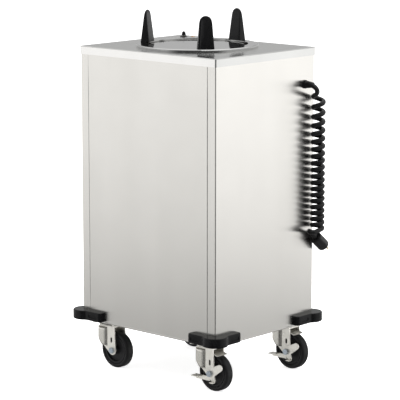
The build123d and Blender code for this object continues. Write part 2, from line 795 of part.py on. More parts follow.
# Corner bumpers: rubber angles round the foot of the cabinet, with a bulging corner
bumper_low = floor_gap + bumper_lift
notch = sqrt(bumper_bulge_r**2 - (bumper_out + bumper_bulge_in) ** 2) + bumper_bulge_in
for corner, spot in caster_spots.items():
    way_x = 1 if spot[0] > 0 else -1
    way_y = 1 if spot[1] > 0 else -1
    inner_x = side_x + seat_gap
    inner_y = body_d / 2 + seat_gap + panel_proud
    outer_x = side_x + bumper_out
    outer_y = body_d / 2 + bumper_out
    end_x = side_x - bumper_leg
    end_y = body_d / 2 - bumper_leg
    corner_outline = [
        (end_x, inner_y),
        (end_x, outer_y),
        (outer_x, outer_y),
        (outer_x, end_y),
        (inner_x, end_y),
        (inner_x, inner_y),
    ]
    bulge_spot = (way_x * (side_x - bumper_bulge_in), way_y * (body_d / 2 - bumper_bulge_in))
    with BuildPart() as bumper:
        with BuildSketch(Plane.XY.offset(bumper_low)):
            with BuildLine():
                Polyline([(way_x * x, way_y * y) for x, y in corner_outline], close=True)
            make_face()
            with Locations(bulge_spot):
                Circle(bumper_bulge_r)
            Rectangle(2 * inner_x, 2 * inner_y, mode=Mode.SUBTRACT)
        extrude(amount=bumper_h)
        upright = bumper.edges().filter_by(Axis.Z)
        notches = [
            upright.sort_by_distance((way_x * (side_x - notch), way_y * outer_y, bumper_low))[0],
            upright.sort_by_distance((way_x * outer_x, way_y * (body_d / 2 - notch), bumper_low))[0],
        ]
        fillet(notches, radius=bumper_notch_r)
        upright = bumper.edges().filter_by(Axis.Z)
        ends = [
            upright.sort_by_distance((way_x * end_x, way_y * outer_y, bumper_low))[0],
            upright.sort_by_distance((way_x * outer_x, way_y * end_y, bumper_low))[0],
        ]
        fillet(ends, radius=bumper_end_r)
        rims = bumper.faces().sort_by(Axis.Z)[0].edges() + bumper.faces().sort_by(Axis.Z)[-1].edges()
        open_rims = []
        for rim in rims:
            middle = rim @ 0.5
            if abs(middle.X) > inner_x + seat_gap or abs(middle.Y) > inner_y + seat_gap:
                open_rims.append(rim)
        fillet(open_rims, radius=bumper_edge_r)
        groove_z = bumper_low + bumper_h / 2
        mid_leg = (bumper_leg - notch) / 2
        with BuildSketch(Plane.XZ.offset(-way_y * outer_y)):
            with Locations((way_x * (end_x + mid_leg), groove_z)):
                SlotOverall(bumper_groove_l, bumper_groove_h)
        extrude(amount=way_y * bumper_groove_depth, mode=Mode.SUBTRACT)
        with BuildSketch(Plane.YZ.offset(way_x * outer_x)):
            with Locations((way_y * (end_y + mid_leg), groove_z)):
                SlotOverall(bumper_groove_l, bumper_groove_h)
        extrude(amount=-way_x * bumper_groove_depth, mode=Mode.SUBTRACT)
    save(bumper, f"bumper_{corner}")

# Cord gland in the right wall
with BuildPart() as cord_gland:
    gland_plane = Plane(origin=(side_x, gland_y, gland_z), x_dir=(0, 1, 0), z_dir=(1, 0, 0))
    with BuildSketch(gland_plane):
        Circle(gland_flange_r)
    extrude(amount=gland_flange_t)
    with BuildSketch(gland_plane.offset(gland_flange_t)):
        Circle(gland_nose_r)
    with BuildSketch(gland_plane.offset(gland_flange_t + gland_nose_l)):
        Circle(gland_tip_r)
    loft()
    with BuildSketch(gland_plane):
        Circle(gland_thread_r)
    extrude(amount=-gland_thread_l)
save(cord_gland, "cord_gland")


def coil_point(turn):
    """Centre line of the coil after so many turns down from its top."""
    angle = radians(coil_start_angle - 360 * turn)
    settled = coil_settle * (1 - exp(-turn / coil_settle))
    drop = coil_last_pitch * turn + (coil_first_pitch - coil_last_pitch) * settled
    spot = Vector(coil_turn_r * cos(angle), coil_turn_r * sin(angle), -drop)
    return spot + Vector(coil_x, coil_y, coil_top_z)


def coil_heading(turn):
    """Unit direction of the coil's centre line, running down."""
    angle = radians(coil_start_angle - 360 * turn)
    pitch = coil_last_pitch + (coil_first_pitch - coil_last_pitch) * exp(-turn / coil_settle)
    round_way = 2 * pi * coil_turn_r
    return Vector(round_way * sin(angle), -round_way * cos(angle), -pitch).normalized()


def add_biarc(start, start_way, end, end_way):
    """Two arcs that meet smoothly, from one point and direction to another."""
    chord = end - start
    ways = start_way + end_way
    spread = 2 * (1 - start_way.dot(end_way))
    lean = chord.dot(ways)
    reach = (sqrt(lean * lean + spread * chord.dot(chord)) - lean) / spread
    first_knee = start + start_way * reach
    last_knee = end - end_way * reach
    middle = (first_knee + last_knee) / 2
    TangentArc(start, middle, tangent=start_way)
    TangentArc(middle, end, tangent=last_knee - first_knee)


def bend_radii(points):
    """A radius for each corner of a route: 0.45 of its shorter run over the half turn's tangent."""
    radii = []
    for before, here, after in zip(points, points[1:], points[2:]):
        run_in = Vector(here) - Vector(before)
        run_out = Vector(after) - Vector(here)
        half_turn = radians(run_in.get_angle(run_out)) / 2
        radii.append(0.45 * min(run_in.length, run_out.length) / tan(half_turn))
    return radii


def cord_tube(points, name):
    """A free stretch of cord along runs joined by tangent arcs."""
    radii = bend_radii(points)
    print(name, "bend radii", [round(radius, 1) for radius in radii])
    with BuildPart() as tube:
        with BuildLine():
            route = FilletPolyline(*points, radius=radii)
        with BuildSketch(Plane(origin=route @ 0, z_dir=route % 0)):
            Circle(cord_r)
        sweep()
    section = pi * cord_r * cord_r
    print(name, "length", round(route.length, 1), "volume share",
          round(tube.part.volume / (section * route.length), 4))
    save(tube, name)
    return route.length


# Curly part of the cord: one unbroken tube on arcs of a quarter turn
coil_entry = coil_point(0) - coil_heading(0) * 2 * cord_r
coil_exit = coil_point(coil_turns) + coil_heading(coil_turns) * 2 * cord_r
quarters = int(coil_turns * 4)
coil_steps = [step / 4 for step in range(quarters + 1)] + [coil_turns]
with BuildPart() as cord_coil:
    with BuildLine() as coil_route:
        Line(coil_entry, coil_point(0))
        for turn, next_turn in zip(coil_steps, coil_steps[1:]):
            add_biarc(coil_point(turn), coil_heading(turn), coil_point(next_turn), coil_heading(next_turn))
        Line(coil_point(coil_turns), coil_exit)
    with BuildSketch(Plane(origin=coil_entry, z_dir=coil_heading(0))):
        Circle(cord_r)
    sweep()
save(cord_coil, "cord_coil")
coil_length = coil_route.wire().length
print("cord_coil length", round(coil_length, 1), "volume share",
      round(cord_coil.part.volume / (pi * cord_r * cord_r * coil_length), 4))
samples = [coil_route.wire().position_at(step / 900) for step in range(901)]
apart = int(900 * pi * coil_turn_r / coil_length)
least_gap = min(
    (samples[later] - samples[first]).length
    for first in range(len(samples))
    for later in range(first + apart, len(samples))
) - 2 * cord_r
print("cord_coil least gap to itself", round(least_gap, 2))

# Lead from the gland to the coil, in one open loop
lead_start = (side_x + gland_flange_t + gland_nose_l, gland_y, gland_z)
lead_knee = coil_entry - coil_heading(0) * 14
lead_points = [
    lead_start,
    (275.0, 160.0, 794.0),
    (289.5, 161.5, 781.5),
    tuple(lead_knee),
    tuple(coil_entry),
]
lead_length = cord_tube(lead_points, "cord_lead")

# Plug hanging under the coil, close to the side and sloping down to the back
plug_way = Vector(0, cos(radians(plug_slope)), -sin(radians(plug_slope)))
plug_end = Vector(*plug_tip)
plug_back = plug_end - plug_way * plug_l
relief_back = plug_back - plug_way * relief_l
plug_plane = Plane(origin=tuple(plug_back), x_dir=(1, 0, 0), z_dir=tuple(plug_way))
with BuildPart() as plug_body:
    with BuildSketch(plug_plane):
        Circle(plug_r)
    extrude(amount=plug_l)
    fillet(plug_body.edges().filter_by(GeomType.CIRCLE), radius=plug_end_r)
    with BuildSketch(plug_plane.offset(plug_end_r)):
        Circle(relief_r)
    with BuildSketch(plug_plane.offset(-relief_l)):
        Circle(cord_r)
    loft()
save(plug_body, "plug_body")

with BuildPart() as plug_prongs:
    with BuildSketch(plug_plane.offset(plug_l)):
        with Locations((-blade_half_gap, 0), (blade_half_gap, 0)):
            Rectangle(blade_t, blade_w)
        with Locations((0, -pin_offset)):
            Circle(pin_r)
    extrude(amount=blade_l)
save(plug_prongs, "plug_prongs")

# Tail: the cord turns back from the coil's last turn into the plug
tail_points = [
    tuple(coil_exit),
    (284.5, 164.0, 392.4),
    (279.0, 155.5, 392.0),
    (269.5, 155.5, 393.5),
    tuple(relief_back - plug_way * plug_run),
    tuple(relief_back),
]
tail_length = cord_tube(tail_points, "cord_tail")
print("cord length in all", round(lead_length + coil_length + tail_length, 1))
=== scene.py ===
import bpy
import bmesh
import json
from math import cos, exp, pi, radians, sin, sqrt
from mathutils import Matrix, Vector


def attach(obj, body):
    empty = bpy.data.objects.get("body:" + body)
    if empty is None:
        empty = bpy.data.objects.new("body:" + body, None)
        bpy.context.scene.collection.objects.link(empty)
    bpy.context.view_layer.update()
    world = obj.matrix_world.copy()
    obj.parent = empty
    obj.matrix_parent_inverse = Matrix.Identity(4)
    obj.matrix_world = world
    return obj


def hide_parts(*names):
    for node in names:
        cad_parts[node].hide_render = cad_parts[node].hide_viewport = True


# The heated plate dispenser, dressed around its solids. Metres, +Z up, the access panel at -Y, the cord at +X.
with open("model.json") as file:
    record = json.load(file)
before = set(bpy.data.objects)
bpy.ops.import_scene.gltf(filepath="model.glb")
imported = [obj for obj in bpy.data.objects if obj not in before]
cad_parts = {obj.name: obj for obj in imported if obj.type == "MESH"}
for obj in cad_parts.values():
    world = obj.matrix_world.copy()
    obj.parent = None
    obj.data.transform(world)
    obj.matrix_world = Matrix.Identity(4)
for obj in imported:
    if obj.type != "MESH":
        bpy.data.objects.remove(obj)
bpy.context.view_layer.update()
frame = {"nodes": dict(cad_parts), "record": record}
nodes = frame["nodes"]

CORNERS = ("front_left", "front_right", "back_left", "back_right")
CASTER_SPOTS = {
    "front_left": (-0.183, -0.158),
    "front_right": (0.183, -0.158),
    "back_left": (-0.183, 0.158),
    "back_right": (0.183, 0.158),
}


# Materials

EVEN = (1, 1, 1)
SMUDGE_SCALE = (7, 7, 7)
GRAIN_ALONG = 3
GRAIN_ACROSS = 1400
BAND_ALONG = 0.4
BAND_ACROSS = 9
GRAIN_SHARE = 0.2
MOTTLE_SIZE = 220.0
# Where a Mix node keeps its two colours and its result
MIX_DARK, MIX_LIGHT, MIX_RESULT = 6, 7, 2


def map_range(tree, value, from_range, to_range, kind="LINEAR"):
    """A value carried from one range of numbers to another."""
    node = tree.nodes.new("ShaderNodeMapRange")
    node.interpolation_type = kind
    limits = ("From Min", "From Max", "To Min", "To Max")
    for limit, number in zip(limits, (*from_range, *to_range)):
        node.inputs[limit].default_value = number
    tree.links.new(value, node.inputs["Value"])
    return node.outputs["Result"]


class Nodes:
    """Short names for building a material's nodes."""

    def __init__(self, name):
        self.material = bpy.data.materials.new(name)
        self.material.use_nodes = True
        self.tree = self.material.node_tree
        self.shader = self.tree.nodes["Principled BSDF"]

    def add(self, kind, **values):
        node = self.tree.nodes.new(kind)
        for key, value in values.items():
            if key in node.inputs:
                node.inputs[key].default_value = value
            else:
                setattr(node, key, value)
        return node

    def link(self, output, target):
        self.tree.links.new(output, target)

    def set(self, **values):
        for key, value in values.items():
            self.shader.inputs[key.replace("_", " ")].default_value = value

    def noise(self, scale, size, detail=3.0, roughness=0.55):
        """Noise in object coordinates, scaled along each axis."""
        where = self.add("ShaderNodeTexCoord")
        mapping = self.add("ShaderNodeMapping", Scale=scale)
        texture = self.add("ShaderNodeTexNoise", Scale=size, Detail=detail, Roughness=roughness)
        self.link(where.outputs["Object"], mapping.inputs["Vector"])
        self.link(mapping.outputs["Vector"], texture.inputs["Vector"])
        return texture.outputs["Fac"]

    def spread(self, value, low=0.0, high=1.0, from_low=0.3, from_high=0.7):
        """A noise value stretched between two numbers."""
        return map_range(self.tree, value, (from_low, from_high), (low, high))

    def tint(self, value, dark, light):
        """A colour between two, by a value from 0 to 1."""
        mix = self.add("ShaderNodeMix", data_type="RGBA")
        mix.inputs[MIX_DARK].default_value = (*dark, 1)
        mix.inputs[MIX_LIGHT].default_value = (*light, 1)
        self.link(value, mix.inputs[0])
        self.link(mix.outputs[MIX_RESULT], self.shader.inputs["Base Color"])

    def rough(self, value, low, high):
        self.link(self.spread(value, low, high), self.shader.inputs["Roughness"])

    def bump(self, value, distance, strength):
        node = self.add("ShaderNodeBump", Strength=strength, Distance=distance)
        self.link(value, node.inputs["Height"])
        self.link(node.outputs["Normal"], self.shader.inputs["Normal"])


def drawn_out(axis, along, across):
    """Noise scales for a grain that runs along one axis."""
    return tuple(along if name == axis else across for name in "XYZ")


def brushed_metal(name, dark, light, rough, axis="Z", anisotropy=0.8, bump=0.00001):
    """Satin sheet metal: long grain along one axis, soft bands, faint smudges."""
    m = Nodes(name)
    fine = m.noise(drawn_out(axis, GRAIN_ALONG, GRAIN_ACROSS), size=1.0, detail=2.0)
    bands = m.noise(drawn_out(axis, BAND_ALONG, BAND_ACROSS), size=1.0, detail=2.0)
    smudges = m.noise(SMUDGE_SCALE, size=1.0, detail=5.0, roughness=0.65)
    blend = m.add("ShaderNodeMath", operation="MULTIPLY_ADD")
    m.link(fine, blend.inputs[0])
    blend.inputs[1].default_value = GRAIN_SHARE
    m.link(m.spread(bands, low=0.1, high=0.9), blend.inputs[2])
    m.tint(blend.outputs[0], dark, light)
    m.rough(smudges, *rough)
    m.bump(fine, bump, strength=0.3)
    m.set(Metallic=1.0, Anisotropic=anisotropy)
    return m.material


def sheet_top_lit_lip(name, flat, lit_lip_colour, rough):
    """The top pan: brushed flat, and painted light on the turned-down front edge: faces turned to the front
    take a paler colour for the light they catch.
    """
    m = Nodes(name)
    fine = m.noise(drawn_out("X", GRAIN_ALONG, GRAIN_ACROSS), size=1.0, detail=2.0)
    smudges = m.noise(SMUDGE_SCALE, size=1.0, detail=5.0, roughness=0.65)
    where = m.add("ShaderNodeTexCoord")
    split = m.add("ShaderNodeSeparateXYZ")
    m.link(where.outputs["Normal"], split.inputs[0])
    # Painted light: faces looking to the front take the paler colour, standing in for the light the front edge
    # catches.
    m.tint(m.spread(split.outputs["Y"], from_low=-0.9, from_high=-0.4), lit_lip_colour, flat)
    m.rough(smudges, *rough)
    m.bump(fine, distance=0.000008, strength=0.3)
    m.set(Metallic=1.0, Anisotropic=0.3)
    return m.material


def plain_metal(name, dark, light, rough, bump=0.00003, metallic=1.0):
    """Plated steel: small mottling and soft pits."""
    m = Nodes(name)
    mottle = m.noise(EVEN, MOTTLE_SIZE, detail=4.0)
    m.tint(m.spread(mottle), dark, light)
    m.rough(m.noise(EVEN, MOTTLE_SIZE / 5), *rough)
    m.bump(mottle, bump, strength=0.5)
    m.set(Metallic=metallic)
    return m.material


def moulded(name, dark, light, rough, bump=0.00003, size=900.0, gloss=0.3):
    """Moulded plastic or rubber: fine grain, slight unevenness in colour and gloss."""
    m = Nodes(name)
    grain = m.noise(EVEN, size, detail=2.0)
    uneven = m.noise(EVEN, size=30.0, detail=4.0)
    m.tint(m.spread(uneven), dark, light)
    m.rough(uneven, *rough)
    m.bump(grain, bump, strength=0.5)
    m.set(Metallic=0.0, Specular_IOR_Level=gloss)
    return m.material


def clouded(name, dark, light, rough):
    """Coloured plastic that lets some light in."""
    m = Nodes(name)
    cloud = m.noise(EVEN, size=260.0, detail=2.0)
    m.tint(m.spread(cloud), dark, light)
    m.rough(cloud, *rough)
    m.set(Metallic=0.0, Subsurface_Weight=0.25, Subsurface_Radius=(0.004, 0.002, 0.001))
    return m.material


# Each look: how it is made, its darker and lighter colour, its roughness, and what departs from the usual
ZINC = ((0.80, 0.78, 0.72), (0.87, 0.85, 0.79))
FINE_PITS = 0.000012
LOOKS = {
    "stainless": (brushed_metal, (0.748, 0.732, 0.696), (0.778, 0.762, 0.727), (0.235, 0.265), {}),
    # The top pan's second colour is painted light: the paler front edge.
    "stainless_top_lit_lip": (sheet_top_lit_lip, (0.68, 0.68, 0.665), (0.88, 0.87, 0.85), (0.20, 0.25), {}),
    "polished_stainless": (brushed_metal, (0.68, 0.68, 0.67), (0.72, 0.72, 0.71), (0.08, 0.12),
                           {"axis": "X", "anisotropy": 0.0, "bump": 0.000003}),
    "zinc_steel": (plain_metal, *ZINC, (0.20, 0.28), {"bump": FINE_PITS, "metallic": 0.6}),
    "rolled_zinc": (plain_metal, *ZINC, (0.12, 0.16), {"bump": 0.000001, "metallic": 0.88}),
    "blue_zinc": (plain_metal, (0.50, 0.57, 0.64), (0.66, 0.72, 0.79), (0.14, 0.22), {"bump": FINE_PITS}),
    # Painted shade: near-black zinc for the caster plates, standing in for the shadow under the cabinet's
    # foot.
    "shadow_dark_zinc": (plain_metal, (0.10, 0.10, 0.09), (0.16, 0.155, 0.14), (0.30, 0.42), {"bump": FINE_PITS}),
    "black_zinc": (plain_metal, (0.018, 0.018, 0.018), (0.035, 0.035, 0.034), (0.25, 0.35),
                   {"bump": FINE_PITS}),
    "spring_steel": (plain_metal, (0.36, 0.36, 0.37), (0.50, 0.50, 0.51), (0.25, 0.35), {}),
    "element": (plain_metal, (0.10, 0.09, 0.08), (0.24, 0.22, 0.20), (0.4, 0.55), {}),
    "brass": (plain_metal, (0.56, 0.50, 0.38), (0.70, 0.64, 0.50), (0.2, 0.32), {}),
    # Painted shade: the dark grey of the strips along the panel's seams.
    "seam_shadow_grey": (moulded, (0.10, 0.10, 0.095), (0.15, 0.15, 0.14), (0.5, 0.65), {}),
    "black_plastic": (moulded, (0.0045, 0.0045, 0.005), (0.0075, 0.0075, 0.008), (0.30, 0.40), {}),
    "hub_plastic": (moulded, (0.010, 0.010, 0.011), (0.018, 0.018, 0.019), (0.45, 0.6), {}),
    "bumper_rubber": (moulded, (0.003, 0.003, 0.0032), (0.007, 0.007, 0.0075), (0.08, 0.14), {"gloss": 0.2}),
    "tyre_rubber": (moulded, (0.005, 0.005, 0.005), (0.010, 0.010, 0.011), (0.40, 0.52), {}),
    "cord_rubber": (moulded, (0.004, 0.004, 0.0045), (0.009, 0.009, 0.0095), (0.26, 0.36), {"gloss": 0.4}),
    "boot_rubber": (moulded, (0.006, 0.006, 0.006), (0.010, 0.010, 0.010), (0.40, 0.55), {}),
    "blanket": (moulded, (0.55, 0.53, 0.45), (0.75, 0.73, 0.66), (0.9, 1.0), {"bump": 0.0006, "size": 300.0}),
    "box_grey": (moulded, (0.38, 0.38, 0.37), (0.50, 0.50, 0.49), (0.45, 0.6), {}),
    "amber_lens": (clouded, (0.42, 0.28, 0.17), (0.56, 0.41, 0.28), (0.12, 0.22), {}),
}
MATERIALS = {
    name: make(name, first, second, rough, **others)
    for name, (make, first, second, rough, others) in LOOKS.items()
}


def paint(piece, name):
    """Gives a piece or a CAD node one material on all its slots."""
    material = MATERIALS[name]
    if piece.data.materials:
        for index in range(len(piece.data.materials)):
            piece.data.materials[index] = material
    else:
        piece.data.materials.append(material)


# The CAD nodes take their slot's look, apart from these
own_look = {"cabinet_top": "stainless_top_lit_lip", "switch_nut": "black_zinc"}
# The caster plates take the near-black zinc, painted shade for the shadow under the cabinet; the axles are
# blue zinc.
for corner in CORNERS:
    own_look[f"caster_plate_{corner}"] = "shadow_dark_zinc"
    own_look[f"caster_axle_{corner}"] = "blue_zinc"
for part in frame["record"]["subparts"]:
    paint(nodes[part["node"]], own_look.get(part["node"], part["material_slot"]))


# Piece helpers


def place_piece(name, data, body, material):
    """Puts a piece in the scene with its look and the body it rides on."""
    piece = bpy.data.objects.new(name, data)
    bpy.context.scene.collection.objects.link(piece)
    paint(piece, material)
    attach(piece, body)
    return piece


def place_mesh(name, mesh, body, material, smooth_angle):
    """A piece from a mesh, shaded smooth up to an angle between its faces."""
    mesh.shade_smooth()
    mesh.set_sharp_from_angle(angle=radians(smooth_angle))
    return place_piece(name, mesh, body, material)


def loft_mesh(name, rings, looped=False):
    """A closed skin through rings with the same number of points, between two end faces or round a loop."""
    work = bmesh.new()
    rows = [[work.verts.new(point) for point in ring] for ring in rings]
    pairs = list(zip(rows, rows[1:]))
    if looped:
        pairs.append((rows[-1], rows[0]))
    count = len(rings[0])
    for low, high in pairs:
        for i in range(count):
            j = (i + 1) % count
            work.faces.new((low[i], low[j], high[j], high[i]))
    if not looped:
        work.faces.new(list(reversed(rows[0])))
        work.faces.new(rows[-1])
    bmesh.ops.recalc_face_normals(work, faces=work.faces)
    mesh = bpy.data.meshes.new(name)
    work.to_mesh(mesh)
    work.free()
    return mesh


def turned(name, profile, place, sides=48):
    """A turned form: profile is (distance along the axis, radius); place puts +Z on the axis."""
    rings = []
    for along, radius in profile:
        ring = []
        for i in range(sides):
            angle = 2 * pi * i / sides
            ring.append(place @ Vector((radius * cos(angle), radius * sin(angle), along)))
        rings.append(ring)
    return loft_mesh(name, rings)


def aimed(way, axis):
    """The turn that points one of an object's axes along a direction."""
    return Vector(way).to_track_quat(axis, "Y")


# Cord: one smooth line from the gland through the coil into the plug, the same route as the solids' one
CORD_R = 0.0065
CORD_EXIT = (0.258, 0.160, 0.794)
LEAD_POINTS = [CORD_EXIT, (0.275, 0.160, 0.794), (0.2895, 0.1615, 0.7815)]
LEAD_RUN = 0.014
COIL_CENTRE = (0.2705, 0.189)
COIL_TURN_R = 0.014
COIL_START = 240.0
COIL_TURNS = 18.0 + 240.0 / 360.0
COIL_TOP = 0.762
COIL_FIRST_PITCH = 0.031
COIL_LAST_PITCH = 0.016
COIL_SETTLE = 4.5
COIL_POINTS_PER_TURN = 16
COIL_HEADING_STEP = 0.01
TAIL_POINTS = [(0.2845, 0.164, 0.3924), (0.279, 0.1555, 0.392), (0.2695, 0.1555, 0.3935)]
TAIL_RUN = 0.011
PLUG_TIP = Vector((0.264, 0.2265, 0.3425))
PLUG_DIP = radians(39)
PLUG_WAY = Vector((0, cos(PLUG_DIP), -sin(PLUG_DIP)))
PLUG_L = 0.050
PLUG_SLEEVE_L = 0.020


def coil_point(turn):
    """The wire's centre after a number of turns. The first turns are drawn further apart."""
    angle = radians(COIL_START - 360 * turn)
    settled = COIL_SETTLE * (1 - exp(-turn / COIL_SETTLE))
    drop = COIL_LAST_PITCH * turn + (COIL_FIRST_PITCH - COIL_LAST_PITCH) * settled
    radius = COIL_TURN_R / cos(pi / COIL_POINTS_PER_TURN)
    return Vector((
        COIL_CENTRE[0] + radius * cos(angle),
        COIL_CENTRE[1] + radius * sin(angle),
        COIL_TOP - drop,
    ))


def coil_heading(turn):
    step = COIL_HEADING_STEP
    return (coil_point(turn + step) - coil_point(turn - step)).normalized()


def cord_points():
    start = coil_point(0)
    start_way = coil_heading(0)
    end = coil_point(COIL_TURNS)
    end_way = coil_heading(COIL_TURNS)
    sleeve_back = PLUG_TIP - PLUG_WAY * (PLUG_L + PLUG_SLEEVE_L)
    points = [Vector(point) for point in LEAD_POINTS]
    points.append(start - start_way * (2 * CORD_R + LEAD_RUN))
    points.append(start - start_way * CORD_R)
    steps = int(COIL_TURNS * COIL_POINTS_PER_TURN)
    points += [coil_point(COIL_TURNS * step / steps) for step in range(steps + 1)]
    points.append(end + end_way * CORD_R)
    points += [Vector(point) for point in TAIL_POINTS]
    points.append(sleeve_back - PLUG_WAY * TAIL_RUN)
    points.append(sleeve_back)
    return points


def make_cord():
    curve = bpy.data.curves.new("power_cord", "CURVE")
    curve.dimensions = "3D"
    curve.bevel_depth = CORD_R
    curve.bevel_resolution = 6
    curve.resolution_u = 4
    curve.use_fill_caps = True
    spline = curve.splines.new("NURBS")
    points = cord_points()
    spline.points.add(len(points) - 1)
    for target, point in zip(spline.points, points):
        target.co = (*point, 1)
    spline.order_u = 3
    spline.use_endpoint_u = True
    cord = place_piece("power_cord", curve, "cabinet", "cord_rubber")
    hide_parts("cord_lead", "cord_coil", "cord_tail")
    return cord


# Strain relief: a ribbed sleeve where the cord leaves the gland. Tables of (distance along the cord, radius).
RELIEF_SPOT = (0.252, 0.160, 0.794)
RELIEF_COLLAR = [(0.0, 0.0002), (0.0, 0.0098), (0.004, 0.0098)]
RELIEF_RIB_STARTS = (0.0055, 0.0097, 0.0139, 0.0181)
RELIEF_RIB_LOSS = 0.0005
RELIEF_RIB = [(0.0, 0.0074), (0.0006, 0.0093), (0.0026, 0.0093), (0.0032, 0.0073)]
RELIEF_GROOVE_R = 0.0074
RELIEF_TIP = [(0.0235, 0.0072), (0.0240, 0.0068), (0.0240, 0.0002)]


def make_relief():
    profile = list(RELIEF_COLLAR)
    for number, start in enumerate(RELIEF_RIB_STARTS):
        for along, radius in RELIEF_RIB:
            loss = RELIEF_RIB_LOSS * number if radius > RELIEF_GROOVE_R else 0.0
            profile.append((start + along, radius - loss))
    profile += RELIEF_TIP
    place = Matrix.Translation(RELIEF_SPOT) @ aimed((1, 0, 0), "Z").to_matrix().to_4x4()
    mesh = turned("cord_relief", profile, place)
    return place_mesh("cord_relief", mesh, "cabinet", "cord_rubber", smooth_angle=40)


cord = make_cord()
relief = make_relief()


# Guide posts: tongues with a rounded top and a sunk arch on the outer face
POST_ANGLES = {"guide_post_1": -39.0, "guide_post_2": 83.4, "guide_post_3": 202.0}
POST_CENTRE_R = 0.145
RING_TOP = 0.900
POST_H = 0.087
POST_FOOT_W = 0.045
POST_TOP_W = 0.032
POST_FOOT_T = 0.025
POST_TOP_T = 0.0045
POST_TIP_HALF_W = 0.0004
POST_THINNING_H = 0.010
POST_TIP_THINNESS = 0.35
POST_CROWN = 0.86
POST_STEPS = 44
POST_CROWN_STEPS = 14
POST_SIDES = 72
POST_SQUARENESS = 0.18
ARCH_MARGIN = 0.0048
ARCH_DEPTH = 0.0020
ARCH_SLOPE_W = 0.0018
ARCH_FROM = 0.75


def post_half_width(height):
    """Half the tongue's width, closing in a round top."""
    taper = (POST_FOOT_W + (POST_TOP_W - POST_FOOT_W) * height / POST_H) / 2
    round_r = POST_TOP_W / 2
    over = height - (POST_H - round_r)
    if over <= 0:
        return taper
    return min(taper, sqrt(max(round_r * round_r - over * over, 0.0)) + POST_TIP_HALF_W)


def post_half_depth(height):
    """Half the tongue's thickness, rounded off over the last centimetre."""
    straight = (POST_FOOT_T + (POST_TOP_T - POST_FOOT_T) * height / POST_H) / 2
    left = min((POST_H - height) / POST_THINNING_H, 1.0)
    return straight * (POST_TIP_THINNESS + (1 - POST_TIP_THINNESS) * sqrt(max(0.0, 1 - (1 - left) ** 2)))


def squared(value, half):
    """One coordinate of a rounded rectangle, from a circle's."""
    return half * abs(value) ** POST_SQUARENESS * (1 if value >= 0 else -1)


def make_post(name, angle):
    place = Matrix.Rotation(radians(angle), 4, "Z") @ Matrix.Translation((POST_CENTRE_R, 0, RING_TOP))
    heights = [POST_H * step / POST_STEPS * POST_CROWN for step in range(POST_STEPS + 1)]
    for step in range(1, POST_CROWN_STEPS + 1):
        heights.append(POST_H * (POST_CROWN + (1 - POST_CROWN) * sin(pi / 2 * step / POST_CROWN_STEPS)))
    rings = []
    for height in heights:
        half_w = post_half_width(height)
        half_t = post_half_depth(height)
        ring = []
        for i in range(POST_SIDES):
            turn = 2 * pi * i / POST_SIDES
            x = squared(cos(turn), half_t)
            y = squared(sin(turn), half_w)
            if x > half_t * ARCH_FROM:
                edge = min(half_w - abs(y), POST_H - height)
                sunk = min(max((edge - ARCH_MARGIN) / ARCH_SLOPE_W, 0.0), 1.0)
                x -= ARCH_DEPTH * sunk * sunk * (3 - 2 * sunk)
            ring.append(place @ Vector((x, y, height)))
        rings.append(ring)
    mesh = loft_mesh(name + "_tongue", rings)
    post = place_mesh(name + "_tongue", mesh, "cabinet", "black_plastic", smooth_angle=60)
    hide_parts(name)


for post_name, post_angle in POST_ANGLES.items():
    make_post(post_name, post_angle)


# Switch boot: flared skirt, waist rings and a round dome. The profile is (height, radius).
BOOT_SPOT = (-0.186, 0.148, 0)
BOOT_PROFILE = [
    (0.8978, 0.0002), (0.8978, 0.0068), (0.8984, 0.0071), (0.8992, 0.0069), (0.9002, 0.0060),
    (0.9010, 0.0055), (0.9016, 0.0056), (0.9022, 0.0053), (0.9030, 0.0054), (0.9045, 0.0053),
    (0.9060, 0.0050), (0.9075, 0.0043), (0.9087, 0.0032), (0.9095, 0.0018), (0.9098, 0.0002),
]


def make_boot():
    mesh = turned("toggle_boot", BOOT_PROFILE, Matrix.Translation(BOOT_SPOT))
    boot = place_mesh("toggle_boot", mesh, "switch_toggle", "boot_rubber", smooth_angle=50)
    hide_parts("switch_boot")


make_boot()


# Fork ribs: the front part of each fork leg swells out in a deep half-round. Measured from the swivel's axis.
RIB_FRONT = -0.0252
RIB_BACK = 0.0100
RIB_RISE = 0.0068
RIB_SWELL_POWER = 0.6
RIB_TOP = 0.1145
RIB_TOP_END = 0.10
RIB_FOOT_END = 0.06
RIB_FOOT_FRONT = 0.081
RIB_FOOT_BACK = 0.061
RIB_FOOT_SLOPE = 1.02
RIB_SINK = 0.0006
RIB_STEPS = 24
LEG_OUT = 0.0223


def rib_foot(x):
    """The leg's lower front edge runs down and back towards the axle."""
    return max(RIB_FOOT_FRONT - (x - RIB_FRONT) * RIB_FOOT_SLOPE, RIB_FOOT_BACK)


def make_rib(corner, side):
    spot_x, spot_y = CASTER_SPOTS[corner]
    back_y = spot_y + side * (LEG_OUT - RIB_SINK)
    rings = []
    for i in range(RIB_STEPS + 1):
        share = i / RIB_STEPS
        x = RIB_FRONT + (RIB_BACK - RIB_FRONT) * share
        swell = max(sin(pi * share), 0.0) ** RIB_SWELL_POWER
        foot = rib_foot(x)
        column = []
        for step in range(RIB_STEPS + 1):
            up = step / RIB_STEPS
            ends = min(1.0, (1 - up) / RIB_TOP_END, up / RIB_FOOT_END)
            rise = RIB_RISE * swell * sqrt(max(0.0, 1 - (1 - ends) ** 2))
            y = side * (LEG_OUT + rise)
            column.append(Vector((spot_x + x, spot_y + y, foot + (RIB_TOP - foot) * up)))
        rings.append(column + [Vector((point.x, back_y, point.z)) for point in reversed(column)])
    name = f"fork_rib_{corner}_{'outer' if side * spot_y > 0 else 'inner'}"
    mesh = loft_mesh(name, rings)
    place_mesh(name, mesh, f"swivel_{corner}", "rolled_zinc", smooth_angle=50)


for corner in CORNERS:
    for side in (-1, 1):
        make_rib(corner, side)
